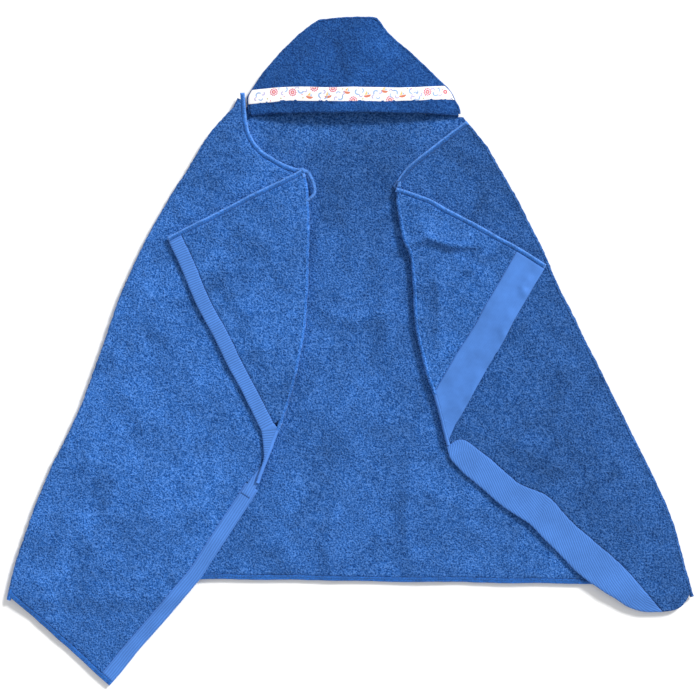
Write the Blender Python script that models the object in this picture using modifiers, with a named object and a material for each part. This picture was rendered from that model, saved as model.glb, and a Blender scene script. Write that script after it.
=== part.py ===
"""Hooded baby towel, folded and laid flat with its hood at the top.

A bath towel lies on its back panel. Its two sides are folded in over the panel, and the upper
corner of each side is turned back out again. Half of a smaller towel is folded into a hood and
sewn to the middle of the top edge, with a printed ribbon along its brim.
Metres, +Z up, X across the towel, +Y towards the hood, origin on the floor under the middle.
"""

import bmesh
import bpy
import numpy as np

# Cloth and layers
CLOTH = 0.0035            # thickness of the terry cloth
HEM = 0.0042              # thickness of a rolled hem
BAND = 0.0028             # thickness of the flat-woven end bands
PITCH = 0.006             # height from one layer of cloth to the next
GAP = 0.0003              # clearance between touching pieces
HEM_WIDTH = 0.006         # width of the narrow rolled hems
THREAD = 0.00035          # radius of a row of stitches

# Middle height of each layer
BACK_MID = CLOTH / 2
WING_MID = BACK_MID + PITCH
FLAP_MID = WING_MID + PITCH

# Hinge lines of the folds: a point on the line, at the height between the layers it joins
WING_FOLD_Z = (BACK_MID + WING_MID) / 2
FLAP_FOLD_Z = (WING_MID + FLAP_MID) / 2
LEFT_WING_FOLD = (-0.2948, 0.1807, WING_FOLD_Z)
RIGHT_WING_FOLD = (0.2759, 0.1537, WING_FOLD_Z)
LEFT_FLAP_FOLD = (-0.0354, 0.2130, FLAP_FOLD_Z)
RIGHT_FLAP_FOLD = (0.0497, 0.2328, FLAP_FOLD_Z)

# Hood
HOOD_LINE = 0.3365        # Y where the hood starts to lift from the back panel
BRIM_SLANT = 0.028        # the brim runs this much further up per metre to the right
BRIM_HEM = 0.016          # depth of the folded hem along the brim
BRIM_HEM_THICK = 0.0045
RIBBON_WIDTH = 0.0235
RIBBON_THICK = 0.0006
HOOD_RISE = 0.014         # how high the middle of the brim stands above its ends
HOOD_BASE_MID = CLOTH + GAP + CLOTH / 2
HOOD_LIFT = (0.0, HOOD_LINE, CLOTH + GAP / 2)
HOOD_DEPTH = 0.1350       # depth of the hood at its corners, brim to crown
CROWN_BULGE = 0.0013      # how far the middle of the crown stands beyond its corners
# Outline of the hood: depth from the brim, then the X of its left and right sides
HOOD_SIDES = (
    (0.0, -0.1435, 0.1570),
    (0.0275, -0.1465, 0.1430),
    (0.0600, -0.1250, 0.1095),
    (0.1165, -0.0720, 0.0510),
    (HOOD_DEPTH, -0.0460, 0.0385),
)

# Where the folded edges of the towel lie
LEFT_SIDE = ((-0.142, 0.375), (-0.195, 0.319), (-0.2425, 0.244), (-0.284, 0.1765), (-0.333, 0.067),
             (-0.383, -0.073), (-0.432, -0.175), (-0.471, -0.278), (-0.490, -0.348))
RIGHT_SIDE = ((0.168, 0.340), (0.224, 0.246), (0.2725, 0.152), (0.3015, 0.0875), (0.373, -0.056),
              (0.416, -0.142), (0.456, -0.228), (0.478, -0.300), (0.490, -0.343))
BACK_BOTTOM = ((-0.486, -0.347), (-0.215, -0.326), (0.344, -0.333), (0.486, -0.340))

LEFT_WING_TOP = ((-0.151, 0.371), (-0.1455, 0.317), (-0.127, 0.288), (-0.090, 0.266), (-0.063, 0.259))
LEFT_FLAP_CREASE = ((-0.063, 0.259), (-0.0575, 0.174), (-0.0645, 0.030), (-0.086, -0.070),
                    (-0.115, -0.149), (-0.132, -0.1995))
LEFT_WING_END = ((-0.132, -0.1995), (-0.215, -0.326), (-0.3445, -0.4785))
LEFT_WING_CORNER = (-0.490, -0.348)
LEFT_BAND_WIDTH = 0.020

LEFT_FLAP_TOP = ((-0.066, 0.2615), (-0.261, 0.162))
LEFT_FLAP_END = ((-0.261, 0.162), (-0.215, 0.059), (-0.126, -0.113), (-0.1225, -0.150), (-0.130, -0.189))
LEFT_FLAP_TIP = -0.104    # Y where the end band of the flap meets its crease

RIGHT_WING_TOP = ((0.166, 0.330), (0.135, 0.305), (0.0865, 0.267), (0.0617, 0.235))
RIGHT_FLAP_CREASE = ((0.0617, 0.235), (0.076, 0.159), (0.0865, 0.1305), (0.0935, 0.030),
                     (0.1075, -0.027), (0.119, -0.063), (0.139, -0.136))
RIGHT_BAND_TOP = ((0.1395, -0.137), (0.160, -0.125), (0.186, -0.143), (0.242, -0.188), (0.285, -0.2085),
                  (0.324, -0.251), (0.388, -0.306), (0.447, -0.3735))
RIGHT_BAND_END = ((0.4195, -0.3725), (0.400, -0.3665), (0.361, -0.343), (0.324, -0.3155), (0.2575, -0.247),
                  (0.222, -0.225), (0.1625, -0.175), (0.1435, -0.1535))
RIGHT_WING_CORNER = ((0.490, -0.343), (0.4735, -0.3675), (0.448, -0.3745))

RIGHT_FLAP_TOP = ((0.0660, 0.2330), (0.115, 0.217), (0.241, 0.148), (0.280, 0.1235))
RIGHT_FLAP_BAND_IN = ((0.241, 0.1475), (0.119, -0.063))
RIGHT_FLAP_BAND_OUT = ((0.280, 0.1235), (0.1675, -0.0735), (0.1490, -0.105), (0.139, -0.134))

# The towel's own top strip, which runs up under the hood to the neck seam
YOKE = ((-0.100, HOOD_LINE + GAP), (-0.082, 0.385), (-0.045, 0.418), (0.000, 0.426),
        (0.048, 0.418), (0.088, 0.385), (0.110, HOOD_LINE + GAP))

BLUE_TERRY = (0.045, 0.16, 0.50, 1.0)
HOOD_TERRY = (0.022, 0.10, 0.34, 1.0)
BAND_BLUE = (0.09, 0.27, 0.72, 1.0)
HEM_BLUE = (0.07, 0.22, 0.60, 1.0)
RIBBON_WHITE = (0.86, 0.84, 0.86, 1.0)
THREAD_BLUE = (0.06, 0.20, 0.55, 1.0)
THREAD_WHITE = (0.88, 0.88, 0.88, 1.0)


def clear_scene():
    for old in list(bpy.data.objects):
        bpy.data.objects.remove(old, do_unlink=True)


def make_collection(name):
    collection = bpy.data.collections.new(name)
    bpy.context.scene.collection.children.link(collection)
    return collection


def cloth_material(name, colour, roughness=0.95):
    material = bpy.data.materials.new(name)
    material.use_nodes = True
    shader = material.node_tree.nodes["Principled BSDF"]
    shader.inputs["Base Color"].default_value = colour
    shader.inputs["Roughness"].default_value = roughness
    shader.inputs["Metallic"].default_value = 0.0
    return material


def smooth(points, steps=4):
    """Points along a smooth curve through the given ones, which it keeps."""
    path = np.array(points, float)
    padded = np.vstack([2 * path[0] - path[1], path, 2 * path[-1] - path[-2]])
    out = []
    for a, b, c, d in zip(padded, padded[1:], padded[2:], padded[3:]):
        for t in np.arange(steps) / steps:
            out.append(0.5 * (2 * b + (c - a) * t + (2 * a - 5 * b + 4 * c - d) * t ** 2
                              + (3 * b - a - 3 * c + d) * t ** 3))
    out.append(path[-1])
    return [tuple(point) for point in out]


def beside(line, distance):
    """The line moved sideways: to its left for a positive distance."""
    path = np.array(line, float)
    along = np.gradient(path, axis=0)
    along /= np.linalg.norm(along, axis=1)[:, None]
    normal = np.column_stack([-along[:, 1], along[:, 0]])
    return [tuple(point) for point in path + distance * normal]


def backwards(line):
    return list(reversed(line))


def cut(outline, first, second, keep_left=True):
    """The outline on one side of the straight line through two points."""
    start = np.array(first, float)
    along = np.array(second, float) - start
    sign = 1.0 if keep_left else -1.0
    sides = [sign * (along[0] * (y - start[1]) - along[1] * (x - start[0])) for x, y in outline]
    out = []
    for i, point in enumerate(outline):
        before, was, now = outline[i - 1], sides[i - 1], sides[i]
        if (was < 0) != (now < 0):
            share = was / (was - now)
            out.append(tuple(np.array(before) + share * (np.array(point) - np.array(before))))
        if now >= 0:
            out.append(tuple(point))
    return out


def as_mesh(source, name, collection, material, origin):
    """Replace a curve by its welded mesh, with its origin at the given point."""
    bpy.context.view_layer.update()
    graph = bpy.context.evaluated_depsgraph_get()
    mesh = bpy.data.meshes.new_from_object(source.evaluated_get(graph))
    mesh.transform(source.matrix_world)
    work = bmesh.new()
    work.from_mesh(mesh)
    bmesh.ops.remove_doubles(work, verts=work.verts, dist=1e-6)
    bmesh.ops.recalc_face_normals(work, faces=work.faces)
    bmesh.ops.translate(work, verts=work.verts, vec=[-value for value in origin])
    work.to_mesh(mesh)
    work.free()
    curve = source.data
    bpy.data.objects.remove(source, do_unlink=True)
    bpy.data.curves.remove(curve)
    mesh.name = name
    mesh.materials.clear()
    mesh.materials.append(material)
    piece = bpy.data.objects.new(name, mesh)
    piece.location = origin
    collection.objects.link(piece)
    return piece


def flat_piece(name, outline, mid, thick, collection, material, origin=(0, 0, 0)):
    """A piece of cloth lying flat: an outline with a thickness about its middle height."""
    curve = bpy.data.curves.new(name, "CURVE")
    curve.dimensions = "2D"
    curve.fill_mode = "BOTH"
    curve.extrude = thick / 2
    spline = curve.splines.new("POLY")
    spline.points.add(len(outline) - 1)
    for point, (x, y) in zip(spline.points, outline):
        point.co = (x, y, 0, 1)
    spline.use_cyclic_u = True
    source = bpy.data.objects.new(name + "_outline", curve)
    source.location.z = mid
    collection.objects.link(source)
    return as_mesh(source, name, collection, material, origin)


def thread(name, path, collection, material, origin=(0, 0, 0), radius=THREAD):
    """A row of stitches: one thin tube along its path."""
    curve = bpy.data.curves.new(name, "CURVE")
    curve.dimensions = "3D"
    curve.bevel_depth = radius
    curve.bevel_resolution = 1
    curve.use_fill_caps = True
    spline = curve.splines.new("POLY")
    spline.points.add(len(path) - 1)
    for point, place in zip(spline.points, path):
        point.co = (*place, 1)
    source = bpy.data.objects.new(name + "_path", curve)
    collection.objects.link(source)
    return as_mesh(source, name, collection, material, origin)


def level(line, z):
    return [(x, y, z) for x, y in line]


def thread_height(mid):
    """Height of a row of stitches on a hem whose middle is at mid."""
    return mid + HEM / 2 + GAP + THREAD


# --- the hood ---------------------------------------------------------------------------------

def hood_point(across, depth, lift=0.0):
    """A point of the hood's upper layer: across 0 to 1 from left to right, depth from the brim."""
    depths, lefts, rights = zip(*HOOD_SIDES)
    left = np.interp(depth, depths, lefts)
    right = np.interp(depth, depths, rights)
    x = left + (right - left) * across
    arch = 4 * across * (1 - across)
    share = depth / HOOD_DEPTH
    y = HOOD_LINE + 2 * GAP + BRIM_SLANT * (x - HOOD_SIDES[0][1]) + depth + CROWN_BULGE * share ** 4 * arch
    z = HOOD_BASE_MID + HOOD_RISE * arch * (1 - share ** 3) + lift
    return (x, y, z)


def hood_sheet(name, start, end, rows, thick, lift, collection, material, columns=20):
    """A strip of the hood's upper layer between two depths from the brim."""
    work = bmesh.new()
    bmesh.ops.create_grid(work, x_segments=columns, y_segments=rows, size=0.5)
    for vertex in work.verts:
        across = vertex.co.x + 0.5
        depth = start + (end - start) * (vertex.co.y + 0.5)
        vertex.co = hood_point(across, depth, lift)
    bmesh.ops.translate(work, verts=work.verts, vec=[-value for value in HOOD_LIFT])
    mesh = bpy.data.meshes.new(name)
    work.to_mesh(mesh)
    work.free()
    mesh.materials.append(material)
    piece = bpy.data.objects.new(name, mesh)
    piece.location = HOOD_LIFT
    collection.objects.link(piece)
    solid = piece.modifiers.new("thickness", "SOLIDIFY")
    solid.thickness = thick
    solid.offset = 0.0
    return piece


def hood_thread(name, depth, height, collection, material):
    """A row of stitches across the hood at one depth from the brim."""
    inset = 0.008
    steps = np.linspace(inset, 1 - inset, 25)
    path = [hood_point(across, depth, height + GAP + 2 * THREAD) for across in steps]
    return thread(name, path, collection, material, HOOD_LIFT)


def build_hood(collection, hood_terry, ribbon, blue_thread, white_thread, terry):
    brim_lift = (BRIM_HEM_THICK - CLOTH) / 2 + GAP
    hood_sheet("hood_brim_hem", 0.0, BRIM_HEM, 2, BRIM_HEM_THICK, brim_lift, collection, hood_terry)
    hood_sheet("hood_upper", BRIM_HEM + 2 * GAP, HOOD_DEPTH, 10, CLOTH, GAP, collection, hood_terry)
    ribbon_lift = GAP + CLOTH / 2 + 2 * GAP + RIBBON_THICK / 2
    ribbon_start = BRIM_HEM + 2 * GAP
    ribbon_end = ribbon_start + RIBBON_WIDTH
    hood_sheet("ribbon_trim", ribbon_start, ribbon_end, 2, RIBBON_THICK, ribbon_lift, collection, ribbon)

    edge = 0.002
    ribbon_top = ribbon_lift + RIBBON_THICK / 2
    hood_thread("ribbon_stitch_front", ribbon_start + edge, ribbon_top, collection, white_thread)
    hood_thread("ribbon_stitch_back", ribbon_end - edge, ribbon_top, collection, white_thread)
    hem_top = brim_lift + BRIM_HEM_THICK / 2
    hood_thread("brim_hem_stitch", BRIM_HEM - edge, hem_top, collection, blue_thread)

    yoke = smooth(YOKE, 3)
    flat_piece("neck_yoke", yoke, BACK_MID, CLOTH, collection, terry, HOOD_LIFT)

    depths = [row[0] for row in HOOD_SIDES]
    left = [hood_point(0, depth)[:2] for depth in depths]
    right = [hood_point(1, depth)[:2] for depth in depths]
    crown = [hood_point(across, HOOD_DEPTH)[:2] for across in (0.2, 0.4, 0.6, 0.8)]
    rim = beside(yoke, 2 * GAP)
    rim[0] = (rim[0][0] - GAP, HOOD_LINE + GAP)
    rim[-1] = (rim[-1][0] + GAP, HOOD_LINE + GAP)
    arch = left + crown + backwards(right) + [(right[0][0], HOOD_LINE + GAP)] + backwards(rim)
    arch = [(left[0][0], HOOD_LINE + GAP)] + arch
    flat_piece("hood_lower", arch, BACK_MID, CLOTH, collection, hood_terry, HOOD_LIFT)

    seam = smooth(YOKE[1:-1], 3)
    seam_height = CLOTH + GAP + 2 * THREAD
    thread("neck_seam_stitch", level(seam, seam_height), collection, blue_thread, HOOD_LIFT, 2 * THREAD)

    crown_path = [hood_point(across, HOOD_DEPTH)[:2] for across in np.linspace(0.02, 0.98, 13)]
    outside = [(x, y + 2 * GAP + 2 * THREAD) for x, y in crown_path]
    thread("crown_seam_stitch", level(outside, HOOD_BASE_MID), collection, blue_thread, HOOD_LIFT)


# --- the towel --------------------------------------------------------------------------------

def build_back(collection, terry, hem, blue_thread):
    left = [point for point in smooth(LEFT_SIDE) if point[1] < HOOD_LINE]
    right = [point for point in smooth(RIGHT_SIDE) if point[1] < HOOD_LINE]
    top = HOOD_LINE - GAP
    bottom_in = beside(BACK_BOTTOM, HEM_WIDTH + GAP)
    outline = [(-0.178, top)] + left[:-1] + bottom_in + backwards(right[:-1]) + [(0.168, top)]
    flat_piece("back_panel", outline, BACK_MID, CLOTH, collection, terry)
    strip = list(BACK_BOTTOM) + backwards(beside(BACK_BOTTOM, HEM_WIDTH))
    flat_piece("back_bottom_hem", strip, HEM / 2, HEM, collection, hem)
    row = beside(BACK_BOTTOM, HEM_WIDTH / 2)[1:-1]
    thread("back_hem_stitch", level(row, thread_height(HEM / 2)), collection, blue_thread)


def build_left_wing(collection, terry, hem, band, blue_thread):
    origin = LEFT_WING_FOLD
    top = smooth(LEFT_WING_TOP)
    crease = smooth(LEFT_FLAP_CREASE)
    end = list(LEFT_WING_END)
    bottom = (LEFT_WING_END[-1], LEFT_WING_CORNER)
    hem_in = beside(bottom, -HEM_WIDTH)
    band_from = beside(bottom, -HEM_WIDTH - GAP)

    strip = end + backwards(beside(end, -LEFT_BAND_WIDTH))
    strip = cut(strip, band_from[0], band_from[1], keep_left=False)
    flat_piece("left_wing_end_band", strip, WING_MID, BAND, collection, band, origin)
    hem_strip = list(bottom) + backwards(hem_in)
    flat_piece("left_wing_bottom_hem", hem_strip, WING_MID, HEM, collection, hem, origin)
    top_strip = top + backwards(beside(top, -HEM_WIDTH))
    flat_piece("left_wing_top_hem", top_strip, WING_MID, HEM, collection, hem, origin)

    side = smooth(LEFT_SIDE)
    top_in = beside(top, -HEM_WIDTH - GAP)
    end_in = beside(end, -LEFT_BAND_WIDTH - GAP)
    outline = side[2:] + backwards(end_in) + backwards(crease[1:-1]) + backwards(top_in)
    outline = cut(outline, band_from[0], band_from[1], keep_left=False)
    flat_piece("left_wing", outline, WING_MID, CLOTH, collection, terry, origin)

    row = beside(bottom, -HEM_WIDTH / 2)
    height = thread_height(WING_MID)
    thread("left_wing_bottom_stitch", level(row, height), collection, blue_thread, origin)
    row = beside(top, -HEM_WIDTH / 2)
    thread("left_wing_top_stitch", level(row, height), collection, blue_thread, origin)


def build_left_flap(collection, terry, hem, band, blue_thread):
    origin = LEFT_FLAP_FOLD
    crease = smooth(LEFT_FLAP_CREASE)
    top = list(LEFT_FLAP_TOP)
    hem_in = beside(top, HEM_WIDTH)
    below = beside(top, HEM_WIDTH + GAP)
    top_strip = top + backwards(hem_in)
    flat_piece("left_flap_top_hem", top_strip, FLAP_MID, HEM, collection, hem, origin)

    end = list(LEFT_FLAP_END)
    end_in = beside(end[:3], LEFT_BAND_WIDTH)
    inside = [point for point in crease if point[1] < LEFT_FLAP_TIP and point[1] > end[-1][1]]
    strip = end + backwards(inside) + backwards(end_in)
    strip = cut(strip, below[0], below[1], keep_left=True)
    flat_piece("left_flap_end_band", strip, FLAP_MID, BAND, collection, band, origin)

    panel_in = beside(end[:3], LEFT_BAND_WIDTH + GAP)
    fold = [point for point in crease if point[1] > LEFT_FLAP_TIP + LEFT_BAND_WIDTH / 4]
    outline = fold + backwards(panel_in)
    outline = cut(outline, below[0], below[1], keep_left=True)
    flat_piece("left_flap", outline, FLAP_MID, CLOTH, collection, terry, origin)

    row = beside(top, HEM_WIDTH / 2)
    thread("left_flap_hem_stitch", level(row, thread_height(FLAP_MID)), collection, blue_thread, origin)


def build_right_wing(collection, terry, hem, band, blue_thread):
    origin = RIGHT_WING_FOLD
    top = smooth(RIGHT_WING_TOP)
    top_strip = top + backwards(beside(top, HEM_WIDTH))
    flat_piece("right_wing_top_hem", top_strip, WING_MID, HEM, collection, hem, origin)

    band_top = smooth(RIGHT_BAND_TOP)
    strip = band_top + list(RIGHT_BAND_END)
    flat_piece("right_wing_end_band", strip, WING_MID, BAND, collection, band, origin)

    side = smooth(RIGHT_SIDE)
    corner = smooth(RIGHT_WING_CORNER)
    crease = smooth(RIGHT_FLAP_CREASE)
    top_in = beside(top, HEM_WIDTH + GAP)
    band_edge = beside(band_top, GAP)
    outline = side[2:-1] + corner[:-1] + backwards(band_edge) + backwards(crease[1:-1]) + backwards(top_in)
    flat_piece("right_wing", outline, WING_MID, CLOTH, collection, terry, origin)

    row = beside(top, HEM_WIDTH / 2)
    thread("right_wing_top_stitch", level(row, thread_height(WING_MID)), collection, blue_thread, origin)


def build_right_flap(collection, terry, hem, band, blue_thread):
    origin = RIGHT_FLAP_FOLD
    top = list(RIGHT_FLAP_TOP)
    top_strip = top + backwards(beside(top, -HEM_WIDTH))
    flat_piece("right_flap_top_hem", top_strip, FLAP_MID, HEM, collection, hem, origin)
    below = beside(top[1:], -HEM_WIDTH - GAP)

    band_in = list(RIGHT_FLAP_BAND_IN)
    crease = smooth(RIGHT_FLAP_CREASE)
    tip = RIGHT_FLAP_BAND_OUT[-1][1]
    low = [point for point in crease if point[1] < band_in[-1][1] - GAP and point[1] > tip]
    strip = list(RIGHT_FLAP_BAND_OUT) + backwards(low) + backwards(band_in)
    strip = cut(strip, below[1], below[2], keep_left=False)
    flat_piece("right_flap_end_band", strip, FLAP_MID, BAND, collection, band, origin)

    fold = [point for point in crease if point[1] > band_in[-1][1] + GAP]
    panel_side = beside(band_in, -GAP)
    top_in = beside(top, -HEM_WIDTH - GAP)
    outline = top_in[:2] + panel_side + backwards(fold[1:])
    outline = cut(outline, below[0], below[1], keep_left=False)
    flat_piece("right_flap", outline, FLAP_MID, CLOTH, collection, terry, origin)

    row = beside(top, -HEM_WIDTH / 2)
    thread("right_flap_hem_stitch", level(row, thread_height(FLAP_MID)), collection, blue_thread, origin)


def main():
    clear_scene()
    collection = make_collection("hooded_baby_towel")
    terry = cloth_material("blue_terry", BLUE_TERRY)
    hood_terry = cloth_material("hood_terry", HOOD_TERRY)
    band = cloth_material("woven_band", BAND_BLUE, 0.8)
    hem = cloth_material("hem", HEM_BLUE, 0.9)
    ribbon = cloth_material("ribbon", RIBBON_WHITE, 0.5)
    blue_thread = cloth_material("blue_thread", THREAD_BLUE, 0.7)
    white_thread = cloth_material("white_thread", THREAD_WHITE, 0.6)

    build_back(collection, terry, hem, blue_thread)
    build_left_wing(collection, terry, hem, band, blue_thread)
    build_left_flap(collection, terry, hem, band, blue_thread)
    build_right_wing(collection, terry, hem, band, blue_thread)
    build_right_flap(collection, terry, hem, band, blue_thread)
    build_hood(collection, hood_terry, ribbon, blue_thread, white_thread, terry)


main()
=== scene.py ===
"""Looks of the hooded baby towel: terry cloth, rolled hems, woven bands, a printed ribbon and stitches.

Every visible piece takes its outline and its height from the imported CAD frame. Metres.
"""
import math

import bpy
import numpy as np
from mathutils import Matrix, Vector
from mathutils.geometry import delaunay_2d_cdt
from mathutils.kdtree import KDTree


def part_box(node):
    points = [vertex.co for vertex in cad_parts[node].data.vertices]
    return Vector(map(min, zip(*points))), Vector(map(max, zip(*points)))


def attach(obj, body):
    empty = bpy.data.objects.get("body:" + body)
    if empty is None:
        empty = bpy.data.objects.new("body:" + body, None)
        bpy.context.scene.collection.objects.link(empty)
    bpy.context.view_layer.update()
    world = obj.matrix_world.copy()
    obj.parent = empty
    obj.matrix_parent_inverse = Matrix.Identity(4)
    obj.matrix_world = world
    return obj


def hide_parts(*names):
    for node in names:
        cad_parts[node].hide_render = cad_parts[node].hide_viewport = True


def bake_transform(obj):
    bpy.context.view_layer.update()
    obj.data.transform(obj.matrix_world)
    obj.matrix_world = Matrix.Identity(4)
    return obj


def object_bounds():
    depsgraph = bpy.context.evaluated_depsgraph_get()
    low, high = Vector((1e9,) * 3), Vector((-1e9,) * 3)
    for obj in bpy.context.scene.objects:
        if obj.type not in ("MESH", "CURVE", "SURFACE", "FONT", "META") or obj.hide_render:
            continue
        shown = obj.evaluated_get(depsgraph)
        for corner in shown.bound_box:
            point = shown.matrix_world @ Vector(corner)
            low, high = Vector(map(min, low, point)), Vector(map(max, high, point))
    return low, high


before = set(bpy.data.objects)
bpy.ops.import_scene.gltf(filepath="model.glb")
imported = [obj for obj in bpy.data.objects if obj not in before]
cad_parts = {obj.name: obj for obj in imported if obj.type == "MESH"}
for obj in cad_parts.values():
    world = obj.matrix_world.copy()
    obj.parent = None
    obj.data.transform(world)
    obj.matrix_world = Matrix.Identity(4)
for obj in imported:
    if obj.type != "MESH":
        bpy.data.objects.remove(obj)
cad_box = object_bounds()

# Cloth
FINE = 0.003              # mesh spacing on the panels that show most
COARSE = 0.004            # mesh spacing on the large back panel
NARROW = 0.002            # mesh spacing on hems, bands and the ribbon
ROUND = 0.0024            # how far in a free edge is rounded over
ROLL_REACH = 0.0042       # how far a fold's middle surface stands out from its panels
CREST = 0.0045            # the most that a ridge on a side stands up
PILE = 0.00032            # height of the pile's clumps
PILE_SIZE = 0.0065        # distance from one clump to the next
EDGE_WAVE = 0.0006        # how far the sewn edges wander
EDGE_OVER = 0.0005        # how far a hem laps over its panel
SEAM_INSET = 0.002        # from a hem's inner edge to its stitches
FLOOR_LEVEL = -0.003      # the surface, a little below the pile
FLOOR_REACH = 30
CAMERA_HEIGHT = 2.79

# Colours, linear
TERRY_BLUE = (0.0167, 0.0959, 0.343)
HOOD_BLUE = (0.0069, 0.0541, 0.218)
BAND_BLUE = (0.064, 0.192, 0.560)
HEM_BLUE = (0.075, 0.215, 0.590)
WHITE = (0.93, 0.92, 0.94)


# --- small tools --------------------------------------------------------------------------------

def waves(points, size, seed, count=14):
    """A smooth random field from -1 to 1 over points of any dimension, its hills about size apart."""
    points = np.asarray(points, float)
    rng = np.random.default_rng(seed)
    total = np.zeros(len(points))
    for _ in range(count):
        direction = rng.normal(size=points.shape[1])
        direction /= np.linalg.norm(direction)
        pace = 2 * math.pi / (size * rng.uniform(0.7, 1.6))
        total += np.sin(points @ direction * pace + rng.uniform(0, 2 * math.pi))
    return total / math.sqrt(count)


def ease(value, low, high):
    """0 below low, 1 above high, smooth between."""
    t = np.clip((np.asarray(value, float) - low) / (high - low), 0, 1)
    return t * t * (3 - 2 * t)


def near_line(points, line):
    """Distance from each point to a line of points, and how far along the line that is, in metres."""
    line = np.asarray(line, float)
    best = np.full(len(points), 1e9)
    place = np.zeros(len(points))
    travelled = 0.0
    for a, b in zip(line, line[1:]):
        step = b - a
        length = np.linalg.norm(step)
        t = np.clip((points - a) @ step / length ** 2, 0, 1)
        away = np.linalg.norm(points - a - t[:, None] * step, axis=1)
        closer = away < best
        best[closer] = away[closer]
        place[closer] = travelled + t[closer] * length
        travelled += length
    return best, place


def ridge(points, line, width, height):
    """A soft ridge, or with a negative height a trough, that follows a line and dies away at its ends."""
    line = np.asarray(line, float)
    away, place = near_line(points, line)
    length = travel(line)[-1]
    fade = ease(place, 0, 0.3 * length) * ease(length - place, 0, 0.3 * length)
    return height * fade * np.exp(-(away / width) ** 2)


def ridges(points, rows):
    """Several ridges together, each as its line, width and height."""
    return sum(ridge(points, line, width, height) for line, width, height in rows)


def outline(node):
    """The outline of a flat CAD node from above, anticlockwise, as points in metres."""
    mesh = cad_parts[node].data
    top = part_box(node)[1][2] - 1e-5
    key = {}
    for vertex in mesh.vertices:
        key[vertex.index] = (round(vertex.co.x, 6), round(vertex.co.y, 6), vertex.co.z > top)
    following = {}
    edges = set()
    for face in mesh.polygons:
        corners = [key[index] for index in face.vertices]
        if all(corner[2] for corner in corners) and face.normal.z > 0.5:
            edges |= set(zip(corners, corners[1:] + corners[:1]))
    for a, b in edges:
        if (b, a) not in edges and a != b:
            following[a] = b
    start = min(following)
    loop = [start]
    while following[loop[-1]] != start:
        loop.append(following[loop[-1]])
    return np.array([(x, y) for x, y, _ in loop])


def nearest(loop, point):
    return int(np.argmin(np.linalg.norm(loop - np.array(point), axis=1)))


def stretch(loop, start, end):
    """The part of an anticlockwise loop from the point nearest start to the one nearest end."""
    first, last = nearest(loop, start), nearest(loop, end)
    if last <= first:
        last += len(loop)
    return np.array([loop[i % len(loop)] for i in range(first, last + 1)])


def travel(line):
    """How far along a line each of its points lies, in metres."""
    return np.concatenate([[0], np.cumsum(np.linalg.norm(np.diff(line, axis=0), axis=1))])


def curve_through(points, spacing, soft=0.004):
    """Evenly spaced points along an open line, its corners softened over about the given length."""
    path = np.asarray(points, float)
    travelled = travel(path)
    count = max(1, math.ceil(travelled[-1] / spacing))
    at = np.linspace(0, travelled[-1], count + 1)
    line = np.column_stack([np.interp(at, travelled, path[:, i]) for i in range(path.shape[1])])
    for _ in range(math.ceil(2 * (soft / spacing) ** 2)):
        line[1:-1] = (line[:-2] + 2 * line[1:-1] + line[2:]) / 4
    return line


def resample(loop, spacing, sharp=28):
    """Evenly spaced points round a closed loop that keep its sharp corners."""
    back = loop - np.roll(loop, 1, axis=0)
    on = np.roll(loop, -1, axis=0) - loop
    cross = back[:, 0] * on[:, 1] - back[:, 1] * on[:, 0]
    turn = np.abs(np.degrees(np.arctan2(cross, (back * on).sum(axis=1))))
    corners = [i for i in range(len(loop)) if turn[i] > sharp] or [0]
    out = []
    for i, first in enumerate(corners):
        last = corners[(i + 1) % len(corners)]
        if last <= first:
            last += len(loop)
        piece = np.array([loop[j % len(loop)] for j in range(first, last + 1)])
        out.append(curve_through(piece, spacing)[:-1])
    return np.vstack(out)


def normals_of(line, closed=False):
    """Unit normals to the right of a line: outward on an anticlockwise loop."""
    if closed:
        along = np.roll(line, -1, axis=0) - np.roll(line, 1, axis=0)
    else:
        along = np.gradient(line, axis=0)
    along = along / np.linalg.norm(along, axis=1)[:, None]
    return np.column_stack([along[:, 1], -along[:, 0]])


def inside(points, loop):
    """Which points lie inside a closed loop."""
    result = np.zeros(len(points), bool)
    for (x0, y0), (x1, y1) in zip(loop, np.roll(loop, -1, axis=0)):
        crosses = (y0 > points[:, 1]) != (y1 > points[:, 1])
        if crosses.any():
            edge = (x1 - x0) * (points[:, 1] - y0) / (y1 - y0 + 1e-12) + x0
            result ^= crosses & (points[:, 0] < edge)
    return result


def half_plane(loop, level, keep_above):
    """The part of a loop above or below a level line y = level(x)."""
    sign = 1 if keep_above else -1
    sides = sign * (loop[:, 1] - level(loop[:, 0]))
    out = []
    for i in range(len(loop)):
        was, now = sides[i - 1], sides[i]
        if (was < 0) != (now < 0):
            out.append(loop[i - 1] + was / (was - now) * (loop[i] - loop[i - 1]))
        if now >= 0:
            out.append(loop[i])
    return np.array(out)


def wander(points):
    """Sewn edges and folds aren't ruled lines: a small smooth sideways drift over the whole towel."""
    drift_x = waves(points, 0.08, 11) + 0.25 * waves(points, 0.022, 12)
    drift_y = waves(points, 0.08, 13) + 0.25 * waves(points, 0.022, 14)
    return points + EDGE_WAVE * np.column_stack([drift_x, drift_y])


def new_object(name, points, faces, smooth=True):
    mesh = bpy.data.meshes.new(name)
    mesh.from_pydata([tuple(point) for point in points], [], faces)
    mesh.polygons.foreach_set("use_smooth", [smooth] * len(mesh.polygons))
    mesh.update()
    piece = bpy.data.objects.new(name, mesh)
    bpy.context.scene.collection.objects.link(piece)
    return piece


def pile_lift(points, amount):
    """Clumps of terry loops, as a small push along the surface's normal."""
    return amount * (waves(points, PILE_SIZE, 21, 24) + 0.6 * waves(points, PILE_SIZE * 2.3, 22, 16))


# --- cloth pieces -------------------------------------------------------------------------------

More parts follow.
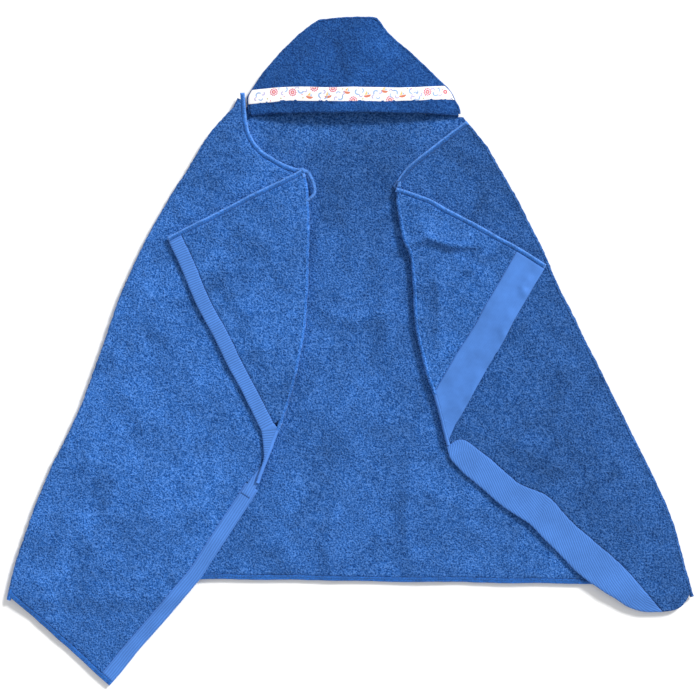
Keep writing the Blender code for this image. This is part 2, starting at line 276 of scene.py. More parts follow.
def slab(name, loop, spacing, middle, half, folds=(), rounding=ROUND, pile=0.0, along=None):
    """A closed piece of cloth of one outline, its free edges rounded over.

    middle(points) is the height of its middle surface. folds are lines where the cloth goes on
    round a fold, so its edge keeps its full thickness there. along is a line from which U and V
    are measured, for woven patterns.
    """
    rim = resample(loop, spacing)
    rng = np.random.default_rng(len(rim))
    low, high = rim.min(axis=0), rim.max(axis=0)
    rows = np.arange(low[1], high[1], spacing * 0.866)
    cells = np.arange(low[0], high[0], spacing)
    grid = np.array([(x + (j % 2) * spacing / 2, y) for j, y in enumerate(rows) for x in cells])
    grid = grid + rng.uniform(-0.18, 0.18, grid.shape) * spacing
    normals = normals_of(rim, closed=True)
    rings = [rim - normals * rounding * share for share in (0.25, 0.7)]
    tree = KDTree(len(rim) * 4)
    steps = np.vstack([rim + share * (np.roll(rim, -1, axis=0) - rim) for share in (0, 0.25, 0.5, 0.75)])
    for i, (x, y) in enumerate(steps):
        tree.insert((x, y, 0), i)
    tree.balance()

    def depth(points):
        return np.array([tree.find((x, y, 0))[2] for x, y in points])

    grid = grid[inside(grid, rim)]
    grid = grid[depth(grid) > rounding + 0.35 * spacing]
    kept = [grid]
    for ring, share in zip(rings, (0.25, 0.7)):
        ring = ring[inside(ring, rim)]
        kept.append(ring[depth(ring) > 0.85 * rounding * share])
    points = np.vstack([rim] + kept)
    count = len(rim)
    loop_edges = [(i, (i + 1) % count) for i in range(count)]
    flat, _, faces, *_ = delaunay_2d_cdt([Vector(point) for point in points], loop_edges, [], 1, 1e-7)
    flat = np.array([tuple(point) for point in flat])

    away = depth(flat)
    full = np.zeros(len(flat), bool)
    for fold in folds:
        full |= near_line(flat, fold)[0] < np.minimum(away + 1e-4, 3 * rounding) + 0.0006
    profile = np.sqrt(np.clip(1 - (1 - np.clip(away / rounding, 0, 1)) ** 2, 0, 1))
    profile = np.maximum(np.where(full, 1.0, profile), 0.18)
    heights = middle(flat)
    moved = wander(flat)
    tops = np.column_stack([moved, heights + half * profile])
    bottoms = np.column_stack([moved, heights - half * profile])
    if pile:
        tops[:, 2] += pile_lift(tops, pile)
        bottoms[:, 2] -= np.abs(pile_lift(bottoms, pile))
    size = len(flat)
    edges = {(a, b) for face in faces for a, b in zip(face, face[1:] + face[:1])}
    walls = [(b, a, a + size, b + size) for a, b in edges if (b, a) not in edges]
    under = [tuple(index + size for index in reversed(face)) for face in faces]
    piece = new_object(name, np.vstack([tops, bottoms]), list(map(tuple, faces)) + under + walls)
    if along is not None:
        away, place = near_line(flat, along)
        add_uv(piece, np.tile(np.column_stack([place, away]), (2, 1)))
    return piece


def add_uv(piece, pairs):
    layer = piece.data.uv_layers.new(name="UVMap")
    corners = np.zeros(len(piece.data.loops), np.int32)
    piece.data.loops.foreach_get("vertex_index", corners)
    layer.data.foreach_set("uv", np.asarray(pairs, float)[corners].ravel())


FOLD_ANGLES = np.radians([-90, -60, -30, 30, 60, 90])


def fold_roll(name, line, low, high, half, pile=0.0, out=ROLL_REACH):
    """The rounded fold that joins a lower sheet to an upper one, round the outside of a line.

    The line runs with the outside on its right. low and high give the heights of the two
    sheets' middle surfaces, and out is how far the fold's middle surface stands out.
    """
    outward = normals_of(line)
    below, above = low(line), high(line)
    centre, rise = (below + above) / 2, (above - below) / 2
    layers = []
    for sign in (1, -1):
        for angle in FOLD_ANGLES:
            reach = (out + sign * half) * math.cos(angle)
            flat = wander(line) + outward * reach
            height = centre + (rise + sign * half) * math.sin(angle)
            points = np.column_stack([flat, height])
            if sign > 0 and pile:
                lift = pile_lift(points, pile)
                points[:, :2] += outward * (lift * math.cos(angle))[:, None]
                points[:, 2] += lift * math.sin(angle)
            layers.append(points)
    count = len(line)
    rows = len(FOLD_ANGLES)
    # round the cross-section: the outer rows from bottom to top, then the inner ones back down
    order = list(range(rows)) + list(range(2 * rows - 1, rows - 1, -1))
    points = np.vstack([layers[i] for i in order])
    around = len(order)
    faces = []
    for i in range(around):
        j = (i + 1) % around
        for k in range(count - 1):
            faces.append((i * count + k, i * count + k + 1, j * count + k + 1, j * count + k))
    for k in (0, count - 1):
        for i in range(rows - 1):
            ring = (i * count + k, (i + 1) * count + k,
                    (around - 2 - i) * count + k, (around - 1 - i) * count + k)
            faces.append(ring if k else tuple(reversed(ring)))
    return new_object(name, points, faces)


def stitches(name, line, spacing=0.0034, length=0.0024, radius=0.0004):
    """A row of separate stitches: small capsules, each dipping into the cloth at its ends."""
    line = np.asarray(line, float)
    travelled = travel(line)
    points, faces = [], []
    sides, rings = 6, 5
    at = np.arange(spacing, travelled[-1] - spacing, spacing)
    for start in at:
        where = np.linspace(start, start + length, rings)
        core = np.column_stack([np.interp(where, travelled, line[:, i]) for i in range(3)])
        bow = np.sin(np.linspace(0, math.pi, rings))
        core[:, 2] += radius * (1.2 * bow - 0.9)
        way = core[-1] - core[0]
        way /= np.linalg.norm(way)
        side = np.cross(way, (0, 0, 1))
        side /= np.linalg.norm(side)
        up = np.cross(side, way)
        base = len(points)
        for centre, swell in zip(core, 0.35 + 0.65 * bow):
            for k in range(sides):
                angle = 2 * math.pi * k / sides
                points.append(centre + radius * swell * (math.cos(angle) * side + math.sin(angle) * up))
        for r in range(rings - 1):
            for k in range(sides):
                a, b = base + r * sides + k, base + r * sides + (k + 1) % sides
                faces.append((a, b, b + sides, a + sides))
        faces.append(tuple(base + k for k in reversed(range(sides))))
        faces.append(tuple(base + (rings - 1) * sides + k for k in range(sides)))
    return new_object(name, points, faces)


# --- materials ----------------------------------------------------------------------------------

class Nodes:
    """Short-hand for building a Principled material's node tree."""

    def __init__(self, name):
        self.material = bpy.data.materials.new(name)
        self.material.use_nodes = True
        self.tree = self.material.node_tree
        self.shader = self.tree.nodes["Principled BSDF"]
        self.place = self.add("ShaderNodeTexCoord")

    def add(self, kind, sockets=(), **values):
        node = self.tree.nodes.new(kind)
        for key, value in values.items():
            setattr(node, key, value)
        for socket, value in dict(sockets).items():
            node.inputs[socket].default_value = value
        return node

    def link(self, source, target):
        self.tree.links.new(source, target)

    def noise(self, scale, detail=2.0, roughness=0.5, vector=None, distortion=0.0):
        node = self.add("ShaderNodeTexNoise", {"Scale": scale, "Detail": detail, "Roughness": roughness,
                                               "Distortion": distortion})
        self.link(vector or self.place.outputs["Object"], node.inputs["Vector"])
        return node.outputs["Fac"]

    def voronoi(self, scale, vector=None):
        node = self.add("ShaderNodeTexVoronoi", feature="SMOOTH_F1")
        node.inputs["Scale"].default_value = scale
        node.inputs["Smoothness"].default_value = 0.6
        self.link(vector or self.place.outputs["Object"], node.inputs["Vector"])
        return node.outputs["Distance"]

    def math(self, operation, a, b=None):
        node = self.add("ShaderNodeMath", operation=operation)
        for socket, value in zip(node.inputs, (a, b)):
            if value is None:
                continue
            if isinstance(value, (int, float)):
                socket.default_value = value
            else:
                self.link(value, socket)
        return node.outputs["Value"]

    def ramp(self, value, *stops):
        node = self.add("ShaderNodeValToRGB")
        while len(node.color_ramp.elements) < len(stops):
            node.color_ramp.elements.new(0.5)
        for element, (position, colour) in zip(node.color_ramp.elements, stops):
            element.position = position
            element.color = (*colour, 1.0)
        self.link(value, node.inputs["Fac"])
        return node.outputs["Color"]

    def tint(self, colour, value, low, high):
        """The colour times a number that goes from low to high with value."""
        node = self.add("ShaderNodeMapRange", {"From Min": 0.3, "From Max": 0.7, "To Min": low,
                                               "To Max": high})
        self.link(value, node.inputs["Value"])
        scale = self.add("ShaderNodeVectorMath", operation="SCALE")
        self.link(colour, scale.inputs[0])
        self.link(node.outputs["Result"], scale.inputs["Scale"])
        return scale.outputs["Vector"]

    def bump(self, height, strength, distance, normal=None):
        node = self.add("ShaderNodeBump", {"Strength": strength, "Distance": distance})
        self.link(height, node.inputs["Height"])
        if normal:
            self.link(normal, node.inputs["Normal"])
        return node.outputs["Normal"]

    def finish(self, colour, normal, roughness, sheen=0.0, sheen_tint=WHITE, sheen_rough=0.5):
        self.link(colour, self.shader.inputs["Base Color"])
        self.link(normal, self.shader.inputs["Normal"])
        for socket, value in {"Roughness": roughness, "Specular IOR Level": 0.15, "Sheen Weight": sheen,
                              "Sheen Tint": (*sheen_tint, 1.0), "Sheen Roughness": sheen_rough}.items():
            self.shader.inputs[socket].default_value = value
        return self.material


def scaled(colour, amount):
    return tuple(channel * amount for channel in colour)


def toned(colour, gains):
    return tuple(channel * gain for channel, gain in zip(colour, gains))


def terry(name, colour, contrast=1.0, painted_shade=()):
    """Looped cotton pile: dark gaps between clumps of loops, pale tips, and broad patches of brushed pile.

    The places listed last, (x, y, half width, half length, gain), are darkened round them as painted shade.
    """
    n = Nodes(name)
    speckle = n.noise(410, 2.5, 0.6)
    loops = n.voronoi(520)
    mixed = n.math("ADD", n.math("MULTIPLY", speckle, 0.80), n.math("MULTIPLY", loops, 0.28))
    dark = toned(colour, [1 - (1 - share) * contrast for share in (0.15, 0.38, 0.52)])
    pale = toned(colour, [1 + (share - 1) * contrast for share in (4.2, 2.10, 1.62)])
    tone = n.ramp(mixed, (0.36, dark), (0.50, colour), (0.66, pale))
    patches = n.noise(13, 3.0, 0.62, distortion=0.8)
    tone = n.tint(tone, patches, 0.80, 1.20)
    grain = n.noise(62, 3.0, 0.6)
    tone = n.tint(tone, grain, 0.88, 1.12)
    # painted shade: the colour darkens round each listed place, down to its gain
    for x, y, width, length, gain in painted_shade:
        place = n.add("ShaderNodeMapping", {"Location": (-x / width, -y / length, 0),
                                            "Scale": (1 / width, 1 / length, 0)})
        n.link(n.place.outputs["Object"], place.inputs["Vector"])
        away = n.add("ShaderNodeVectorMath", operation="LENGTH")
        n.link(place.outputs["Vector"], away.inputs[0])
        ragged = n.math("ADD", away.outputs["Value"], n.math("MULTIPLY", n.noise(22, 2.0), 0.5))
        tone = n.tint(tone, n.math("MULTIPLY", ragged, 0.6), gain, 1.0)
    normal = n.bump(loops, 0.5, 0.0014)
    normal = n.bump(speckle, 0.8, 0.0020, normal)
    return n.finish(tone, normal, 0.95, sheen=0.25, sheen_tint=(0.45, 0.62, 1.0), sheen_rough=0.4)


def woven(name, colour, pitch, axis, depth=0.5, angle=0.0, uneven=0.10):
    """Flat-woven cotton: fine ribs across or along the band, over a close thread grain."""
    n = Nodes(name)
    turn = n.add("ShaderNodeMapping", {"Rotation": (0, 0, angle)})
    n.link(n.place.outputs["UV"], turn.inputs["Vector"])
    split = n.add("ShaderNodeSeparateXYZ")
    n.link(turn.outputs["Vector"], split.inputs[0])
    along = split.outputs[axis]
    wobble = n.math("MULTIPLY", n.noise(60, 2.0), pitch * 0.5)
    phase = n.math("MULTIPLY", n.math("ADD", along, wobble), 2 * math.pi / pitch)
    ribs = n.math("ADD", n.math("MULTIPLY", n.math("SINE", phase), 0.5), 0.5)
    grain = n.noise(900, 2.0)
    tone = n.ramp(n.math("ADD", n.math("MULTIPLY", ribs, 0.5), n.math("MULTIPLY", grain, 0.5)),
                  (0.25, scaled(colour, 1 - 0.48 * depth)),
                  (0.75, scaled(colour, 1 + 0.30 * depth)))
    tone = n.tint(tone, n.noise(26, 3.0, 0.6), 1 - uneven, 1 + 0.8 * uneven)
    normal = n.bump(ribs, 0.5 * depth, 0.0006)
    normal = n.bump(grain, 0.35, 0.0004, normal)
    return n.finish(tone, normal, 0.75, sheen=0.15, sheen_tint=(0.6, 0.75, 1.0))


def hem_cloth(name, colour, edge=HEM_BLUE):
    """The turned edge of the terry: pile pressed flat, worn pale along its outer edge."""
    n = Nodes(name)
    split = n.add("ShaderNodeSeparateXYZ")
    n.link(n.place.outputs["UV"], split.inputs[0])
    inward = n.math("MULTIPLY", split.outputs[1], 100)
    tone = n.ramp(inward, (0.10, edge), (0.28, scaled(colour, 1.15)))
    grain = n.noise(430, 3.0, 0.6)
    tone = n.tint(tone, grain, 0.55, 1.45)
    tone = n.tint(tone, n.noise(45, 2.0), 0.85, 1.12)
    normal = n.bump(grain, 0.7, 0.0014)
    return n.finish(tone, normal, 0.9, sheen=0.3, sheen_tint=(0.5, 0.68, 1.0))


def ribbon_cloth(name):
    """White ribbon: a fine cross rib and a faint thread grain."""
    n = Nodes(name)
    split = n.add("ShaderNodeSeparateXYZ")
    n.link(n.place.outputs["UV"], split.inputs[0])
    ribs = n.math("SINE", n.math("MULTIPLY", split.outputs[0], 2 * math.pi / 0.0011))
    grain = n.noise(700, 2.0)
    tone = n.ramp(grain, (0.3, scaled(WHITE, 0.90)), (0.7, (0.97, 0.96, 0.97)))
    normal = n.bump(ribs, 0.25, 0.0003)
    normal = n.bump(grain, 0.25, 0.0003, normal)
    return n.finish(tone, normal, 0.55, sheen=0.1)


def printed(name, colour):
    """Ink on the ribbon: its colour, broken a little by the threads."""
    n = Nodes(name)
    grain = n.noise(800, 2.0)
    tone = n.ramp(grain, (0.3, scaled(colour, 0.85)), (0.7, scaled(colour, 1.12)))
    return n.finish(tone, n.bump(grain, 0.25, 0.0003), 0.6)


def thread(name, colour):
    """Twisted sewing thread."""
    n = Nodes(name)
    grain = n.noise(1500, 2.0)
    tone = n.ramp(grain, (0.3, scaled(colour, 0.75)), (0.7, scaled(colour, 1.1)))
    return n.finish(tone, n.bump(grain, 0.4, 0.0002), 0.6, sheen=0.1)


def dress(piece, material, slot, body, nodes):
    """Material, body and the CAD nodes that a piece stands for. slot is not used."""
    piece.data.materials.clear()
    piece.data.materials.append(material)
    if body:
        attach(piece, body)
    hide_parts(*nodes)
    return piece


# --- the layers: outlines, folds and heights ----------------------------------------------------

def layer(node):
    """(middle height, half thickness) of a flat CAD node."""
    low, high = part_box(node)
    return (low[2] + high[2]) / 2, (high[2] - low[2]) / 2


BACK_MID, HALF = layer("back_panel")
WING_MID, _ = layer("left_wing")
FLAP_MID, _ = layer("left_flap")
HEM_HALF = layer("left_flap_top_hem")[1]
BAND_HALF = layer("left_flap_end_band")[1]
FOLD_INSET = ROLL_REACH + 0.5 * HALF      # how far a panel stops short of its fold's outer edge


def corner_of(loop, right, up):
    """The point of a loop that lies furthest towards a direction."""
    return loop[int(np.argmax(loop @ np.array([right, up], float)))]


def fold_back(loop, start, end, inset=FOLD_INSET):
    """Draws a panel's edge in along a fold. Returns the new loop and the fold's line on it."""
    first, last = nearest(loop, start), nearest(loop, end)
    line = stretch(loop, start, end)
    inward = -normals_of(line)
    drawn = line + inward * inset
    # the two ends slide along the edges that they share with the rest of the outline
    following = loop[(last + 1) % len(loop)]
    for here, corner, beyond in ((0, loop[first], loop[first - 1]), (-1, loop[last], following)):
        way = (beyond - corner) / np.linalg.norm(beyond - corner)
        if way @ inward[here] > 0.35:
            drawn[here] = corner + way * inset / (way @ inward[here])
    loop = loop.copy()
    for i, point in enumerate(drawn):
        loop[(first + i) % len(loop)] = point
    return loop, drawn


def grown(loop, amount):
    """A loop with its edge moved outward."""
    return loop + normals_of(loop, closed=True) * amount


def lengthened(line, before, after):
    """A line carried on straight at its two ends."""
    first = (line[0] - line[1]) / np.linalg.norm(line[0] - line[1])
    last = (line[-1] - line[-2]) / np.linalg.norm(line[-1] - line[-2])
    return np.vstack([line[0] + first * before, line, line[-1] + last * after])


back_loop = outline("back_panel")
left_loop = outline("left_wing")
right_loop = outline("right_wing")
left_flap_loop = outline("left_flap")
right_flap_loop = outline("right_flap")
left_band_loop = outline("left_flap_end_band")
right_band_loop = outline("right_flap_end_band")
bottom_hem_loop = outline("back_bottom_hem")

# Ends of the folds
LEFT_TOP = corner_of(left_loop, 0.3, 1)
LEFT_BOTTOM = corner_of(left_loop, -1, -0.3)
RIGHT_BOTTOM = corner_of(right_loop, 1, -0.3)
RIGHT_TOP = corner_of(right_loop, 0.3, 1)
LEFT_CREASE_TOP = corner_of(left_flap_loop, 0.5, 1)
LEFT_CREASE_JOIN = corner_of(left_band_loop, 1, 0)
LEFT_CREASE_LOW = corner_of(left_band_loop, 0.4, -1)
RIGHT_CREASE_TOP = corner_of(right_flap_loop, -0.6, 1)
RIGHT_CREASE_JOIN = corner_of(right_band_loop, -1, 0)
RIGHT_CREASE_LOW = corner_of(right_band_loop, -0.1, -1)

HOOD_LINE = back_loop[:, 1].max()

# Every panel stops short of its folds. The side folds run round the back, the creases round the flaps
back_loop, back_left = fold_back(back_loop, corner_of(back_loop, -0.4, 1), corner_of(back_loop, -1, -0.3))
back_loop, back_right = fold_back(back_loop, corner_of(back_loop, 1, -0.3), corner_of(back_loop, 0.4, 1))
left_loop, left_side = fold_back(left_loop, LEFT_TOP, LEFT_BOTTOM)
left_loop, left_crease = fold_back(left_loop, LEFT_CREASE_LOW, LEFT_CREASE_TOP)
right_loop, right_side = fold_back(right_loop, RIGHT_BOTTOM, RIGHT_TOP)
right_loop, right_crease = fold_back(right_loop, RIGHT_CREASE_TOP, RIGHT_CREASE_LOW)
left_flap_loop, left_flap_fold = fold_back(
    left_flap_loop, corner_of(left_flap_loop, 1, -0.9), LEFT_CREASE_TOP)
right_flap_loop, right_flap_fold = fold_back(
    right_flap_loop, RIGHT_CREASE_TOP, corner_of(right_flap_loop, 0.3, -1))
left_band_loop, left_band_fold = fold_back(left_band_loop, LEFT_CREASE_LOW, LEFT_CREASE_JOIN)
right_band_loop, right_band_fold = fold_back(right_band_loop, RIGHT_CREASE_JOIN, RIGHT_CREASE_LOW)


def hills(points, size, seed, height):
    """Low rolling ground from 0 to height."""
    return height * np.clip(0.5 + 0.2 * waves(points, size, seed), 0, 1)


def settled(lift):
    """Ridges that level off, so that a side opened out onto the floor lies flat enough on it."""
    return CREST * np.tanh(lift / CREST)


def clear_of(points, *lines):
    """0 along a fold, where a sheet keeps its level, and 1 a little way in from it."""
    share = np.ones(len(points))
    for line in lines:
        share = share * ease(near_line(points, line)[0], 0.004, 0.030)
    return share


def back_height(points):
    """The back panel lies flat, with a few soft ridges where it was smoothed out."""
    lift = ridges(points, (
        ([(0.088, -0.130), (0.080, -0.240), (0.092, -0.335)], 0.011, 0.0050),
        ([(-0.018, -0.200), (-0.034, -0.280), (-0.026, -0.335)], 0.010, 0.0045),
        ([(-0.050, 0.052), (0.010, 0.045), (0.085, 0.068)], 0.012, 0.0045),
        ([(0.040, 0.200), (0.052, 0.060), (0.060, -0.060)], 0.016, 0.0045),
        ([(-0.010, 0.250), (0.004, 0.150), (-0.012, 0.080)], 0.018, 0.0035),
        ([(-0.060, -0.060), (-0.020, -0.120), (0.030, -0.150)], 0.020, 0.0035),
        ([(0.130, -0.230), (0.190, -0.265), (0.240, -0.300)], 0.016, 0.0035),
        ([(-0.150, -0.260), (-0.100, -0.290), (-0.060, -0.320)], 0.016, 0.0030),
    ))
    lift += hills(points, 0.10, 31, 0.0014)
    level = clear_of(points, back_left, back_right) * ease(HOOD_LINE - points[:, 1], 0, 0.02)
    return BACK_MID + lift * level


def past_bottom(points):
    """How far each point lies beyond the bottom edge of the back panel."""
    low = bottom_hem_loop[bottom_hem_loop[:, 1] < bottom_hem_loop[:, 1].mean()]
    low = low[np.argsort(low[:, 0])]
    return np.interp(points[:, 0], low[:, 0], low[:, 1]) - points[:, 1]


def left_height(points):
    """The left side: soft diagonal creases, sinking to the floor past the back panel."""
    lift = ridges(points, (
        ([(-0.385, 0.040), (-0.320, -0.040), (-0.262, -0.150)], 0.017, 0.0065),
        ([(-0.300, 0.090), (-0.262, 0.010), (-0.230, -0.060)], 0.015, 0.0045),
        ([(-0.430, -0.220), (-0.360, -0.275), (-0.300, -0.335)], 0.020, 0.0050),
        ([(-0.400, -0.090), (-0.340, -0.170), (-0.250, -0.210)], 0.022, 0.0045),
        ([(-0.215, 0.270), (-0.170, 0.236), (-0.115, 0.222)], 0.013, 0.0045),
        ([(-0.255, 0.200), (-0.215, 0.180), (-0.170, 0.160)], 0.012, 0.0035),
        ([(-0.157, 0.362), (-0.156, 0.340), (-0.150, 0.318)], 0.004, 0.0035),
    ))
    lift += hills(points, 0.11, 32, 0.0022)
    sunk = 0.0055 * ease(past_bottom(points), 0.003, 0.035)
    return WING_MID + settled(lift) * clear_of(points, left_side, left_crease) - sunk


def right_height(points):
    """The right side: smoother, with one thin crease down from the hood."""
    lift = ridges(points, (
        ([(0.172, 0.318), (0.160, 0.268), (0.144, 0.222)], 0.0035, 0.0024),
        ([(0.270, -0.080), (0.340, -0.140), (0.430, -0.180)], 0.018, 0.0045),
        ([(0.230, 0.060), (0.280, 0.000), (0.330, -0.030)], 0.018, 0.0040),
        ([(0.180, -0.095), (0.260, -0.140), (0.330, -0.190)], 0.014, 0.0045),
        ([(0.330, -0.190), (0.390, -0.250), (0.440, -0.320)], 0.018, 0.0035),
    ))
    lift += hills(points, 0.11, 33, 0.0022)
    sunk = 0.0030 * ease(past_bottom(points), 0.003, 0.030)
    return WING_MID + settled(lift) * clear_of(points, right_side, right_crease) - sunk


def left_flap_height(points):
    lift = ridges(points, (
        ([(-0.210, 0.150), (-0.150, 0.060), (-0.105, -0.040)], 0.015, 0.0040),
        ([(-0.170, 0.190), (-0.120, 0.150), (-0.095, 0.100)], 0.012, 0.0030),
    ))
    lift += hills(points, 0.07, 34, 0.0016)
    return left_height(points) + FLAP_MID - WING_MID + lift * clear_of(points, left_crease)


def right_flap_height(points):
    """The right corner: a sharp wrinkle across it, steep on its lower side, and soft ones below."""
    wrinkle = ridge(points, [(0.020, 0.136), (0.094, 0.154), (0.112, 0.161), (0.142, 0.150),
                             (0.205, 0.150)], 0.0055, 0.0070)
    lift = ridges(points, (
        ([(0.050, 0.160), (0.112, 0.171), (0.150, 0.162), (0.215, 0.160)], 0.013, 0.0035),
        ([(0.262, 0.112), (0.246, 0.092), (0.252, 0.072)], 0.006, 0.0022),
        ([(0.236, 0.060), (0.218, 0.030), (0.222, 0.005)], 0.008, 0.0022),
        ([(0.188, -0.020), (0.176, -0.060), (0.160, -0.080)], 0.007, 0.0018),
        ([(0.205, 0.150), (0.185, 0.130), (0.160, 0.105)], 0.008, 0.0045),
        ([(0.124, 0.120), (0.128, 0.060), (0.126, 0.000)], 0.009, 0.0040),
    ))
    lift += hills(points, 0.07, 35, 0.0016)
    wrinkle *= 0.55 + 0.45 * clear_of(points, right_crease)
    return right_height(points) + FLAP_MID - WING_MID + lift * clear_of(points, right_crease) + wrinkle


# --- materials, one for each kind of cloth ------------------------------------------------------

# painted shade: the back darkens round a place just below the middle of the hood, where the hood's shade
# falls
terry_back = terry("terry_back", scaled(TERRY_BLUE, 0.90), painted_shade=[(0.02, 0.250, 0.16, 0.13, 0.74)])
terry_under = terry("terry_underside", scaled(TERRY_BLUE, 0.92))
# painted shade: the left side darkens round a place near its top, beside the hood
terry_left = terry("terry_left", TERRY_BLUE, painted_shade=[(-0.20, 0.290, 0.12, 0.12, 0.84)])
# painted shade: the right side's face is a darker copy of the terry, as if in shade; its underside keeps
# terry_underside
terry_right_painted_shade = terry("terry_right_painted_shade", scaled(TERRY_BLUE, 0.70))
terry_flap = terry("terry_flap", scaled(TERRY_BLUE, 0.93))
# painted highlight: the fold rolls along the two creases are paler, as if lit
terry_painted_highlight = terry("terry_painted_highlight", scaled(TERRY_BLUE, 1.25), 0.8)
terry_hood = terry("terry_hood", HOOD_BLUE, 0.8)
band_cross = woven("band_cross_rib", BAND_BLUE, 0.0034, 0, 0.60)
band_long = woven("band_long_rib", BAND_BLUE, 0.0034, 1, 0.45)
band_plain = woven("band_plain", BAND_BLUE, 0.0017, 0, 0.2, uneven=0.16)
band_slant = woven("band_slant_rib", BAND_BLUE, 0.0031, 1, 0.50, angle=0.42)
hem_left = hem_cloth("hem_cloth_left", TERRY_BLUE)
hem_plain = hem_cloth("hem_cloth_plain", scaled(TERRY_BLUE, 0.85), scaled(TERRY_BLUE, 1.35))
# painted shade: the right side's hem is darker, like the right side's face
hem_right_painted_shade = hem_cloth("hem_cloth_right_painted_shade", scaled(TERRY_BLUE, 0.75))
ribbon_white = ribbon_cloth("ribbon_cloth")
thread_blue = thread("thread_blue", scaled(HEM_BLUE, 0.6))
thread_dark = thread("thread_dark", scaled(HOOD_BLUE, 1.2))
thread_white = thread("thread_white", (0.85, 0.85, 0.87))


# --- the towel ----------------------------------------------------------------------------------

def cloth_piece(name, node, loop, spacing, height, folds, material, body, under=None):
    """A panel of terry, with a second material on its underside where its face carries painted shade."""
    piece = slab(name, loop, spacing, height, HALF, folds=folds, pile=PILE)
    dress(piece, material, "terry", body, [node])
    if under:
        piece.data.materials.append(under)
        for face in piece.data.polygons:
            face.material_index = int(face.normal.z < -0.3)
    return piece


def hemmed(names, nodes, start, end, height, material, body, half=HEM_HALF):
    """A hem and its row of stitches, along its inner edge from its corner at start to the one at end."""
    loop = outline(nodes[0])
    first, last = corner_of(loop, *start), corner_of(loop, *end)
    hem = slab(names[0], grown(loop, EDGE_OVER), NARROW, height, half, along=stretch(loop, last, first))
    line = curve_through(stretch(loop, first, last), 0.004)
    line = wander(line - normals_of(line) * SEAM_INSET)
    row = stitches(names[1], np.column_stack([line, height(line) + HEM_HALF]))
    return [dress(hem, material, "hem", body, nodes[:1]),
            dress(row, thread_blue, "blue_thread", body, nodes[1:])]


def band_piece(name, node, loop, height, material, body, along, folds=()):
    piece = slab(name, grown(loop, 0.0004), NARROW, height, BAND_HALF, folds=folds, along=along)
    return dress(piece, material, "woven_band", body, [node])


def fold_pieces(prefix, low, high, parts):
    """The pieces of a fold between two bodies, each as its kind, line, half thickness and material.

    Every piece is left with no body, its transform baked into its mesh.
    """
    slots = {"cloth": "terry", "edge": "hem", "band": "woven_band"}
    made = []
    for kind, line, half, material in parts:
        line = curve_through(line, FINE)
        piece = fold_roll(prefix + kind, line, low, high, half, PILE if kind == "cloth" else 0.0)
        dress(piece, material, slots[kind], None, [])
        middle = (low(line[:1])[0] + high(line[:1])[0]) / 2
        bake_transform(piece)
        made.append(piece)
    return made


def parted(line, last):
    """A line cut in two so that its second part has the given length."""
    travelled = travel(line)
    at = travelled[-1] - last
    cut = np.array([np.interp(at, travelled, line[:, i]) for i in range(2)])
    before = line[travelled < at - 1e-6]
    after = line[travelled > at + 1e-6]
    return np.vstack([before, cut]), np.vstack([cut, after])


back = cloth_piece(
    "back_cloth", "back_panel", back_loop, COARSE, back_height,
    [back_left, back_right, np.array([(back_left[0][0], HOOD_LINE), (back_right[-1][0], HOOD_LINE)])],
    terry_back, "back")
back_trims = hemmed(("back_bottom_edge", "back_hem_stitches"), ("back_bottom_hem", "back_hem_stitch"),
                    (1, 0.5), (-1, 0.5), back_height, hem_plain, "back", HALF + 0.0002)

# Left side
left_wing = cloth_piece("left_side_cloth", "left_wing", left_loop, FINE, left_height,
                        [left_side, left_crease], terry_left, "left_side")
left_trims = hemmed(
    ("left_side_top_edge", "left_side_top_stitches"), ("left_wing_top_hem", "left_wing_top_stitch"),
    (-1, 0.3), (0.2, -1), left_height, hem_left, "left_side")
left_trims += hemmed(
    ("left_side_bottom_edge", "left_side_bottom_stitches"),
    ("left_wing_bottom_hem", "left_wing_bottom_stitch"),
    (1, 0.6), (-0.6, 1), left_height, hem_plain, "left_side")
left_end_loop = outline("left_wing_end_band")
left_end_inner = stretch(
    left_end_loop, corner_of(left_end_loop, -0.2, 1), corner_of(left_end_loop, -1, -0.6))
left_end_band = band_piece("left_side_end_band", "left_wing_end_band", left_end_loop, left_height,
                           band_long, "left_side", left_end_inner)
left_side_run, left_side_end = parted(lengthened(left_side, 0.0, 0.012), 0.018)
left_fold = fold_pieces("left_side_fold_", back_height, left_height, (
    ("cloth", left_side_run, HALF, terry_left),
    ("edge", left_side_end, HALF + 0.0002, hem_plain)))

# Left corner, turned back over the left side
left_flap = cloth_piece("left_corner_cloth", "left_flap", left_flap_loop, FINE, left_flap_height,
                        [left_flap_fold], terry_flap, "left_corner")
left_flap_trims = hemmed(
    ("left_corner_top_edge", "left_corner_stitches"), ("left_flap_top_hem", "left_flap_hem_stitch"),
    (-0.5, -1), (1, -0.4), left_flap_height, hem_left, "left_corner")
left_band_outer = stretch(left_band_loop, corner_of(left_band_loop, -1, 0), LEFT_CREASE_LOW)
left_flap_band = band_piece("left_corner_end_band", "left_flap_end_band", left_band_loop, left_flap_height,
                            band_cross, "left_corner", left_band_outer, [left_band_fold])
join = nearest(left_crease, LEFT_CREASE_JOIN)
left_crease_run, left_crease_end = parted(lengthened(left_crease[join:], 0.0, 0.003), 0.008)
left_crease_fold = fold_pieces(
    "left_corner_fold_", left_height, left_flap_height, (
        ("cloth", left_crease_run, HALF, terry_painted_highlight),
        ("edge", left_crease_end, HEM_HALF, hem_left),
        ("band", lengthened(left_crease[:join + 1], 0.0, 0.001), BAND_HALF, band_long)))

# The end band's own twist, where it runs from under the corner onto the side
turn_edge = curve_through(np.array([(0.0073, 0.024), (0, 0), (-0.0132, -0.0212)]) + LEFT_CREASE_LOW, NARROW,
                          0.006)
turn_width = np.interp(np.linspace(0, 1, len(turn_edge)), (0, 0.5, 1), (0.004, 0.0125, 0.015))
turn_inner = turn_edge + normals_of(turn_edge) * turn_width[:, None]
left_band_turn = slab("left_side_band_turn", np.vstack([turn_edge, turn_inner[::-1]])[::-1], NARROW,
                      lambda points: left_height(points) + HALF + 0.0006, 0.0008, along=turn_edge)
dress(left_band_turn, band_long, "woven_band", "left_side", [])

